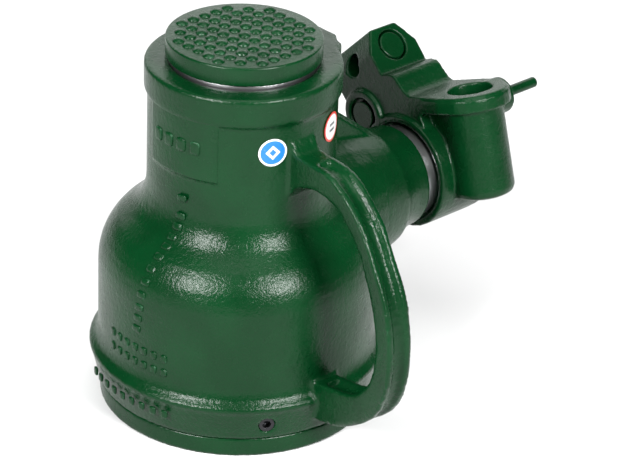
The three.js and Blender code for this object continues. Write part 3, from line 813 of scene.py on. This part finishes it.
@dataclass
class Finishes:
    """Every finish, made once."""

    casting: bpy.types.Material = field(default_factory=lambda: Enamel("cast_enamel").make())
    smooth: bpy.types.Material = field(default_factory=lambda: Enamel(
        "machined_enamel", grain=6 * MM, grain_relief=0.03 * MM, pit=1.4 * MM, pit_relief=0.012 * MM,
        wave_relief=0.12 * MM, gloss=0.22).make())
    black: bpy.types.Material = field(default_factory=lambda: Metal(
        "black_oxide", (0.035, 0.035, 0.038), (0.06, 0.055, 0.05), 0.38).make())
    steel: bpy.types.Material = field(default_factory=lambda: Metal(
        "turned_steel", (0.50, 0.51, 0.52), (0.26, 0.25, 0.23), 0.28).make())
    gear: bpy.types.Material = field(default_factory=lambda: Metal(
        "gear_steel", (0.30, 0.30, 0.31), (0.12, 0.11, 0.10), 0.36).make())
    bright: bpy.types.Material = field(default_factory=lambda: Metal(
        "ground_steel", (0.62, 0.63, 0.65), (0.42, 0.42, 0.42), 0.16).make())
    zinc: bpy.types.Material = field(default_factory=lambda: Metal(
        "zinc_plate", (0.55, 0.56, 0.55), (0.36, 0.35, 0.28), 0.34).make())
    bronze: bpy.types.Material = field(default_factory=lambda: Metal(
        "bronze", (0.52, 0.32, 0.14), (0.25, 0.15, 0.07), 0.34).make())
    rubber: bpy.types.Material = field(default_factory=lambda: Rubber().make())


def head_point(x: float, u: float, v: float) -> Vector:
    """Puts a point of the upright ratchet head where its lean takes it.

    Args:
        x: along the ratchet shaft.
        u: across the shaft, towards -Y.
        v: up from the shaft.

    Returns:
        The point in the row's frame.
    """
    y, c, s = -u, math.cos(HEAD_LEAN), math.sin(HEAD_LEAN)
    return Vector((x, y * c + v * s, NECK_Z - y * s + v * c))


@dataclass
class Casting:
    """The bell housing with its base, raised marks, screws and signs."""

    voxel: float = 1.35 * MM
    smoothing: int = 4
    mark_relief: float = 2.0 * MM
    block: tuple = (4.6 * MM, 5.4 * MM)
    pad_block: tuple = (7.0 * MM, 9.0 * MM)
    row_block: tuple = (7.0 * MM, 4.6 * MM)
    sign_lift: float = 60.35 * MM
    sign_scale: dict = field(default_factory=lambda: {Symbol.DIAMOND: 0.87, Symbol.BARS: 0.97})
    pad_span: tuple = (math.radians(-198.0), math.radians(-145.0))
    pad_height: tuple = (177.5 * MM, 219.0 * MM)
    pad_r: float = 61.7 * MM
    pad_edge: float = 2.6 * MM
    blue_azimuth: float = math.radians(-113.5)
    red_azimuth: float = math.radians(-65.5)

    def housing(self, finish: Finishes) -> None:
        """Makes the fine housing with soft cast edges.

        Args:
            finish: the finishes.
        """
        rounds = (
            Round((0, 0, 0), (0, 0, 1), 40, (30 * MM, 99 * MM)),
            Round((0, 0, NECK_Z), (1, 0, 0), 28, (20 * MM, 47 * MM), (75 * MM, 142 * MM)),
        )
        piece = refine("housing", self.voxel, self.smoothing, rounds, "housing_casting")
        dress(piece, finish.casting)
        stand_for(piece, "housing", "housing")

    def base(self, finish: Finishes) -> None:
        """Makes the smooth base flange.

        Args:
            finish: the finishes.
        """
        piece = refine("base_plate", 1.25 * MM, 5, (Round((0, 0, 0), (0, 0, 1), 40, (25 * MM, 95 * MM)),),
                       "base_flange")
        dress(piece, finish.smooth)
        stand_for(piece, "housing", "base_plate")

    def _bar(self, radius: float, azimuth: float, z: float, size: tuple, tip: float = 0.0) -> tuple:
        """Places one raised bar on a round wall.

        Args:
            radius: the wall's radius at the bar.
            azimuth: the direction from the screw's axis.
            z: the height.
            size: the bar's length round the wall and its height.
            tip: how far the wall leans back from upright.

        Returns:
            A place for a Repeat tree.
        """
        point = Vector((radius * math.cos(azimuth), radius * math.sin(azimuth), z))
        turn = Matrix.Rotation(azimuth + math.pi / 2, 3, "Z") @ Matrix.Rotation(math.pi / 2 - tip, 3, "X")
        return point, tuple(turn.to_euler()), (size[0], size[1], 1.0)

    def pad(self, finish: Finishes) -> None:
        """Makes the raised pad on the tower, a curved slab with a rounded edge.

        Args:
            finish: the jack's finishes.
        """
        (start, end), (low, high) = self.pad_span, self.pad_height
        foot_r, skin = TOWER_R - 0.6 * MM, 1.0 * MM
        build = bmesh.new()
        bmesh.ops.create_grid(build, x_segments=110, y_segments=80, size=1.0)
        for vert in build.verts:
            along, up = (vert.co.x + 1) / 2, (vert.co.y + 1) / 2
            angle = start + along * (end - start)
            from_side = min(along, 1 - along) * (end - start) * TOWER_R
            from_foot = up * (high - low)
            near = 1 - min(1.0, min(from_side, from_foot) / self.pad_edge)
            radius = foot_r + (self.pad_r - foot_r) * math.sqrt(1 - near * near)
            vert.co = Vector((radius * math.cos(angle), radius * math.sin(angle), low + from_foot))
        bmesh.ops.recalc_face_normals(build, faces=build.faces)
        middle = build.faces[:][len(build.faces) // 2]
        if middle.normal.dot(middle.calc_center_median() - Vector((0, 0, middle.calc_center_median().z))) < 0:
            bmesh.ops.reverse_faces(build, faces=build.faces)
        mesh = bpy.data.meshes.new("tower_pad")
        build.to_mesh(mesh)
        build.free()
        piece = new_object("tower_pad", mesh)
        shell = piece.modifiers.new("shell", "SOLIDIFY")
        shell.thickness, shell.offset = skin, -1.0
        bake_modifiers(piece)
        shade_smooth(piece)
        dress(piece, finish.casting)
        stand_for(piece, "housing")

    def marks(self, finish: Finishes) -> None:
        """Makes the rows of plain raised blocks on the pad, the shoulder, the lower wall and the rim.

        Args:
            finish: the finishes.
        """
        places = []
        for k in range(4):
            places.append(self._bar(self.pad_r, math.radians(-188.0 + 9.5 * k), 200.0 * MM, self.pad_block))
        for z in (64 * MM, 54 * MM):
            for k in range(7):
                places.append(self._bar(BELL_R, math.radians(-192.0 + 5.0 * k), z, self.block))
        for k in range(9):
            places.append(self._bar(RIM_R, math.radians(-201.0 + 5.2 * k), 28 * MM, self.block))
        places += self._shoulder_row()
        piece = pillow_marks("housing_marks", places, self.mark_relief, finish.casting)
        stand_for(piece, "housing")

    def _shoulder_row(self) -> list:
        """Places the upright row of marks that runs down the tower, the hollow, the shoulder and the wall."""
        stations = [(HOLLOW_CENTRE.x - HOLLOW_R, 163 * MM, 0.0)]
        for lean in map(math.radians, (8, 21, 34, 47)):
            spot = HOLLOW_CENTRE - HOLLOW_R * Vector((math.cos(lean), math.sin(lean)))
            stations.append((spot.x, spot.y, lean))
        for lean in map(math.radians, (46, 34, 22, 10)):
            spot = SHOULDER_CENTRE + SHOULDER_R * Vector((math.cos(lean), math.sin(lean)))
            stations.append((spot.x, spot.y, lean))
        stations += [(BELL_R, z, 0.0) for z in (94 * MM, 86 * MM, 78 * MM)]
        places = []
        for k, (radius, z, lean) in enumerate(stations):
            places.append(self._bar(radius, math.radians(-168.0 - 0.75 * k), z, self.row_block, tip=lean))
        return places

    def signs(self) -> None:
        """Makes the two round printed signs that lie on the tower."""
        white, blue, red = (0.52, 0.52, 0.52), (0.002, 0.11, 0.56), (0.40, 0.022, 0.012)
        kinds = (
            ("label_blue", self.blue_azimuth, blue, white, white, Symbol.DIAMOND),
            ("label_red", self.red_azimuth, white, red, (0.06, 0.06, 0.065), Symbol.BARS),
        )
        for node, azimuth, field_colour, ring, mark, symbol in kinds:
            low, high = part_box(node)
            radius = self.sign_scale[symbol] * (high[2] - low[2]) / 2
            z = (high[2] + low[2]) / 2
            centre = (TOWER_R * math.cos(azimuth), TOWER_R * math.sin(azimuth), z)
            sign = Sign(f"{node}_print", centre, azimuth, radius, field_colour, ring, mark, symbol)
            piece = self._disc(f"{node}_disc", azimuth, z, radius)
            dress(piece, sign.make())
            stand_for(piece, "housing", node)

    def _disc(self, name: str, azimuth: float, z: float, radius: float) -> bpy.types.Object:
        """Makes a thin disc bent round the tower.

        Args:
            name: the piece's name.
            azimuth: the disc's direction from the screw's axis.
            z: the disc's height.
            radius: the disc's radius.

        Returns:
            The piece.
        """
        build = bmesh.new()
        rings, facets = 7, 64
        bmesh.ops.create_circle(build, cap_ends=True, cap_tris=True, segments=facets, radius=radius)
        for _ in range(rings):
            inner = [e for e in build.edges if not e.is_boundary and e.calc_length() > radius / rings]
            bmesh.ops.subdivide_edges(build, edges=inner, cuts=1)
        for vert in build.verts:
            lift, height = self.sign_lift, z + vert.co.y
            angle = azimuth + vert.co.x / lift
            vert.co = Vector((lift * math.cos(angle), lift * math.sin(angle), height))
        bmesh.ops.recalc_face_normals(build, faces=build.faces)
        mesh = bpy.data.meshes.new(name)
        build.to_mesh(mesh)
        build.free()
        piece = new_object(name, mesh)
        skin = piece.modifiers.new("skin", "SOLIDIFY")
        skin.thickness = 0.3 * MM
        skin.offset = 1.0
        bake_modifiers(piece)
        shade_smooth(piece)
        return piece

    def trim(self, finish: Finishes) -> None:
        """Makes the set screws, the grease plug, the washer and the hidden bearings and bushes.

        Args:
            finish: the finishes.
        """
        for k in (1, 2, 3):
            piece = refine(f"set_screw_{k}", 0.25 * MM, 3)
            dress(piece, finish.black)
            stand_for(piece, "housing", f"set_screw_{k}")
        washer_round = Round((0, 0, NECK_Z), (1, 0, 0), 28, (10 * MM, 45 * MM))
        piece = refine("neck_washer", 0.35 * MM, 3, (washer_round,))
        dress(piece, finish.steel)
        stand_for(piece, "housing", "neck_washer")
        piece = refine("grease_plug", 0.3 * MM, 3)
        dress(piece, finish.zinc)
        stand_for(piece, "housing", "grease_plug")
        for node, material in (("lower_race", finish.bright), ("inner_bush", finish.bronze),
                               ("outer_bush", finish.bronze), ("wiper_ring", finish.rubber),
                               ("guide_key", finish.steel), ("guide_key_screw", finish.black)):
            dress_node(node, material)

    def build(self, finish: Finishes) -> None:
        """Makes every piece of the housing.

        Args:
            finish: the finishes.
        """
        self.housing(finish)
        self.base(finish)
        self.pad(finish)
        self.marks(finish)
        self.signs()
        self.trim(finish)


@dataclass
class Drive:
    """The lifting screw, its bevel gears and the thrust bearing inside the housing."""

    def build(self, finish: Finishes) -> None:
        """Dresses the hidden drive parts.

        Args:
            finish: the finishes.
        """
        for node, material in (("load_screw", finish.steel), ("bevel_gear", finish.gear),
                               ("gear_key", finish.steel), ("upper_race", finish.bright),
                               ("ball_cage", finish.bright),
                               ("bevel_pinion", finish.gear), ("wheel_key", finish.steel),
                               ("ratchet_wheel", finish.gear), ("shaft_washer", finish.zinc)):
            dress_node(node, material)
        piece = refine("shaft_nut", 0.5 * MM, 3)
        dress(piece, finish.zinc)
        stand_for(piece, "pinion", "shaft_nut")


@dataclass
class LiftingRam:
    """The ram, and the swivel cap with its studs."""

    stud_pitch: float = 9.4 * MM
    stud_r: float = 4.15 * MM
    stud_height: float = 2.0 * MM
    edge: float = 1.3 * MM

    def ram(self, finish: Finishes) -> None:
        """Makes the smooth ram.

        Args:
            finish: the finishes.
        """
        piece = refine("ram", 1.1 * MM, 4, (Round((0, 0, 0), (0, 0, 1), 40, (20 * MM, 50 * MM)),), "ram_fine")
        # The ram wears the darker gear steel partly as painted shade: its thin band showing under the cap is
        # made dark like the gap there.
        dress(piece, finish.gear)
        stand_for(piece, "ram", "ram")
        for node, material in (("ram_nut", finish.bronze), ("nut_pin_1", finish.black),
                               ("nut_pin_2", finish.black)):
            dress_node(node, material)

    def _corner(self, r: float, z: float, turn: float, size: float) -> list:
        """Makes the points of one rounded outer corner.

        Args:
            r: the corner arc's centre radius.
            z: the corner arc's centre height.
            turn: the arc's first angle in degrees.
            size: the arc's radius.

        Returns:
            [radius, height] pairs over a quarter turn.
        """
        angles = [math.radians(turn + 90 * k / 6) for k in range(7)]
        return [(r + size * math.cos(a), z + size * math.sin(a)) for a in angles]

    def cap(self, finish: Finishes) -> None:
        """Makes the cap body and its studs.

        Args:
            finish: the finishes.
        """
        low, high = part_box("load_cap")
        radius = (high[0] - low[0]) / 2
        bottom, top = low[2], high[2] - self.stud_height
        r, seat, bore = radius - self.edge, bottom + 6.7 * MM, 20.4 * MM
        profile = [(0, seat), (bore, seat), (bore, seat - 1.7 * MM), (22.2 * MM, seat - 2.5 * MM),
                   (22.2 * MM, seat - 4.1 * MM), (bore, seat - 4.9 * MM), (bore, bottom)]
        profile += self._corner(r, bottom + self.edge, -90, self.edge)
        profile += self._corner(r, top - self.edge, 0, self.edge) + [(0, top)]
        piece = lathe("cap_body", profile)
        dress(piece, finish.smooth)
        piece.data.materials.append(finish.casting)
        for face in piece.data.polygons:
            face.material_index = int(face.normal.z > 0.5 and face.center.z > top - self.edge)
        stand_for(piece, "cap", "load_cap")
        studs = self.studs(top, radius, finish)
        stand_for(studs, "cap", "load_cap")
        dress_node("cap_ring", finish.steel)

    def studs(self, top: float, radius: float, finish: Finishes) -> bpy.types.Object:
        """Makes the domed studs on the cap.

        Args:
            top: the height of the cap's face.
            radius: the cap's radius.
            finish: the finishes.

        Returns:
            The studs as one piece.
        """
        tree = Repeat("cap_studs_tree", {"Stud radius": self.stud_r, "Facets": 14, "Rings": 9})
        ball = tree.add("GeometryNodeMeshUVSphere", None, {
            "Segments": tree.size("Facets"), "Rings": tree.size("Rings"), "Radius": tree.size("Stud radius")})
        tree.spread(ball.outputs[0], finish.casting)
        rng = np.random.default_rng(7)
        count = math.ceil(radius / self.stud_pitch)
        squash = (self.stud_height + 0.5 * MM) / self.stud_r
        places = []
        for i in range(-count, count + 1):
            for j in range(-count, count + 1):
                x, y = i * self.stud_pitch, j * self.stud_pitch
                if math.hypot(x, y) > radius - 3.9 * MM:
                    continue
                wide = 1 + rng.uniform(-0.05, 0.05)
                tall = squash * (1 - rng.uniform(0, 0.06))
                turn = (0.0, 0.0, rng.uniform(0, 1))
                places.append((Vector((x, y, top - 0.5 * MM)), turn, (wide, wide, tall)))
        return tree.build("cap_studs", places)

    def build(self, finish: Finishes) -> None:
        """Makes the ram and the cap."""
        self.ram(finish)
        self.cap(finish)


@dataclass
class RatchetHead:
    """The ratchet head: lever socket, pawl, sprung plunger, cover and bar pin."""

    voxel: float = 0.95 * MM
    smoothing: int = 5

    def _leaning(self, facets: int, reach: tuple, u: float = 0.0, v: float = 0.0,
                 span: tuple = (-1.0, 1.0)) -> Round:
        """Describes a round stretch of the leaning head, along the shaft's direction."""
        return Round(tuple(head_point(0, u, v)), (1, 0, 0), facets, reach, span)

    def casting(self, finish: Finishes) -> None:
        """Makes the fine head casting.

        Args:
            finish: the finishes.
        """
        up = (head_point(0, 0, 1) - head_point(0, 0, 0)).normalized()
        rounds = (
            self._leaning(40, (30 * MM, 39.4 * MM), span=(140 * MM, 188 * MM)),
            Round(tuple(head_point(176.8 * MM, 44 * MM, 0)), tuple(up), 28, (12 * MM, 21.5 * MM),
                  (-20 * MM, 41 * MM)),
        )
        piece = refine("lever_head", self.voxel, self.smoothing, rounds, "head_casting")
        dress(piece, finish.casting)
        stand_for(piece, "head", "lever_head")

    def marks(self, finish: Finishes) -> None:
        """Makes the raised marks down the web beside the lever socket.

        Args:
            finish: the finishes.
        """
        places = []
        for k in range(7):
            point = head_point(158.2 * MM, 24.5 * MM, 30 * MM - 6.2 * MM * k)
            turn = Matrix.Rotation(-HEAD_LEAN, 3, "X") @ Matrix.Rotation(-math.pi / 2, 3, "Y")
            places.append((point, tuple(turn.to_euler()), (3.0 * MM, 3.4 * MM, 1.0)))
        piece = pillow_marks("head_marks", places, 1.4 * MM, finish.casting)
        stand_for(piece, "head")

    def spring(self, finish: Finishes) -> None:
        """Winds the pawl spring behind the window.

        Args:
            finish: the finishes.
        """
        low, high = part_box("pawl_spring")
        centre = (Vector(low) + Vector(high)) / 2
        tilt = HEAD_LEAN + math.radians(28.5)
        axis = Vector((0, math.sin(tilt), math.cos(tilt)))
        tree = Repeat("spring_tree", {
            "Coil radius": 6.2 * MM, "Length": 15.7 * MM, "Turns": 5.5, "Wire": 1.15 * MM})
        coil = tree.add("GeometryNodeCurveSpiral", None, {
            "Resolution": 40, "Rotations": tree.size("Turns"), "Start Radius": tree.size("Coil radius"),
            "End Radius": tree.size("Coil radius"), "Height": tree.size("Length")})
        wire = tree.add("GeometryNodeCurvePrimitiveCircle", None, {
            "Resolution": 14, "Radius": tree.size("Wire")})
        tube = tree.add("GeometryNodeCurveToMesh", None, {
            0: coil.outputs[0], 1: wire.outputs[0], "Fill Caps": True})
        tree.spread(tube.outputs[0], finish.black)
        turn = axis.to_track_quat("Z", "Y").to_euler()
        start = centre - axis * 7.85 * MM
        piece = tree.build("spring_coil", [(start, tuple(turn), (1.0, 1.0, 1.0))])
        stand_for(piece, "head", "pawl_spring")

    def fittings(self, finish: Finishes) -> None:
        """Makes the pins, plug, cover and screws of the head.

        Args:
            finish: the finishes.
        """
        pivot = (-32 * MM, 36.4 * MM)
        socket = (44 * MM, 40.4 * MM)
        fine = (
            ("head_cover", 0.7 * MM, 4, finish.smooth, "head", (self._leaning(40, (14 * MM, 39.5 * MM)),)),
            ("pawl_pin", 0.4 * MM, 4, finish.smooth, "head", (self._leaning(24, (3 * MM, 12 * MM), *pivot),)),
            ("spring_plug", 0.4 * MM, 4, finish.smooth, "head", ()),
            ("bar_pin", 0.3 * MM, 4, finish.smooth, "bar_pin",
             (self._leaning(16, (2 * MM, 8 * MM), *socket),)),
            ("bar_pin_gland", 0.35 * MM, 4, finish.smooth, "head",
             (self._leaning(24, (3.5 * MM, 8 * MM), *socket),)),
            ("pawl", 0.5 * MM, 4, finish.gear, "pawl", ()),
            ("plunger", 0.45 * MM, 4, finish.smooth, "plunger", ()),
        )
        for node, voxel, smoothing, material, body, rounds in fine:
            piece = refine(node, voxel, smoothing, rounds)
            dress(piece, material)
            stand_for(piece, body, node)
        for k in range(1, 6):
            piece = refine(f"cover_screw_{k}", 0.3 * MM, 3)
            dress(piece, finish.black)
            stand_for(piece, "head", f"cover_screw_{k}")
        dress_node("pawl_clip", finish.black)

    def build(self, finish: Finishes) -> None:
        """Makes every piece of the head.

        Args:
            finish: the finishes.
        """
        self.casting(finish)
        self.marks(finish)
        self.spring(finish)
        self.fittings(finish)


# ---------------------------------------------------------------------------- studio


@dataclass
class Studio:
    """The camera, the pale floor and the soft lights."""

    stand: tuple = (-1.1212, -1.2452, 1.0159)
    heading: float = math.radians(48.0)
    pan: float = 0.028
    tilt: float = 0.494
    roll: float = 0.040
    lens: float = 171.03
    key_spread: float = math.radians(38.5)
    key_height: float = math.radians(32.0)
    key_distance: float = 1.9
    key_size: float = 0.52
    key_power: float = 68.0

    def _row(self, v: Vector) -> Vector:
        """Turns a direction seen from the camera's side into the row's frame."""
        s, c = math.sin(self.heading), math.cos(self.heading)
        return Vector((v.x * s + v.y * c, -(v.x * c - v.y * s), v.z))

    def camera(self) -> None:
        """Places the camera."""
        forward = self._row(Vector((math.sin(self.pan) * math.cos(self.tilt),
                                    math.cos(self.pan) * math.cos(self.tilt), -math.sin(self.tilt))))
        right = self._row(Vector((math.cos(self.pan), -math.sin(self.pan), 0)))
        up = right.cross(forward)
        c, s = math.cos(self.roll), math.sin(self.roll)
        right, up = c * right + s * up, c * up - s * right
        data = bpy.data.cameras.new("camera")
        data.lens, data.sensor_width = self.lens, 36.0
        camera = bpy.data.objects.new("camera", data)
        turn = Matrix((right, up, -forward)).transposed().to_4x4()
        camera.matrix_world = Matrix.Translation(self.stand) @ turn
        bpy.context.scene.collection.objects.link(camera)
        bpy.context.scene.camera = camera

    def _panel(self, name: str, azimuth: float, height: float, distance: float, size: tuple,
               power: float) -> None:
        """Hangs one soft panel, aimed at the jack.

        Args:
            name: the light's name.
            azimuth: its direction from the jack, where 0 is the camera's side.
            height: its angle above the floor.
            distance: how far away it hangs.
            size: its width and height.
            power: its power in watts.
        """
        side = self._row(Vector((math.sin(azimuth), -math.cos(azimuth), 0)))
        aim = Vector((0.03, 0, 0.13))
        place = aim + distance * (side * math.cos(height) + Vector((0, 0, math.sin(height))))
        data = bpy.data.lights.new(name, "AREA")
        data.shape, data.size, data.size_y, data.energy = "RECTANGLE", size[0], size[1], power
        panel = bpy.data.objects.new(name, data)
        panel.location = place
        panel.rotation_euler = (place - aim).to_track_quat("Z", "Y").to_euler()
        bpy.context.scene.collection.objects.link(panel)

    def lights(self) -> None:
        """Hangs the two keys, the overhead panel and the bright backdrop."""
        for name, sign in (("key_left", -1), ("key_right", 1)):
            self._panel(name, sign * self.key_spread, self.key_height, self.key_distance,
                        (self.key_size, self.key_size), self.key_power)
        self._panel("overhead", 0.3, math.radians(84), 1.8, (1.3, 1.3), 19.0)
        self._panel("backdrop", math.pi, math.radians(26), 2.6, (4.4, 2.0), 58.0)

    def floor(self) -> None:
        """Lays the floor."""
        mesh = bpy.data.meshes.new("floor")
        half = 6.0
        outline = [(-half, -half, 0), (half, -half, 0), (half, half, 0), (-half, half, 0)]
        mesh.from_pydata(outline, [], [(0, 1, 2, 3)])
        piece = new_object("floor", mesh)
        dress(piece, PaleFloor().make())

    def world(self) -> None:
        """Fills the room with a dim even light."""
        world = bpy.data.worlds.new("room")
        world.use_nodes = True
        background = world.node_tree.nodes["Background"]
        background.inputs["Color"].default_value = (0.95, 0.97, 1.0, 1)
        background.inputs["Strength"].default_value = 0.04
        bpy.context.scene.world = world
        bpy.context.scene.view_settings.view_transform = "Standard"

    def build(self) -> None:
        """Sets up the studio."""
        self.camera()
        self.lights()
        self.floor()
        self.world()


def main() -> None:
    """Builds the jack and its studio."""
    logging.basicConfig(level=logging.INFO, format="%(name)s %(message)s")
    Studio().build()
    finish = Finishes()
    Casting().build(finish)
    Drive().build(finish)
    LiftingRam().build(finish)
    RatchetHead().build(finish)


if __name__ == "__main__":
    main()
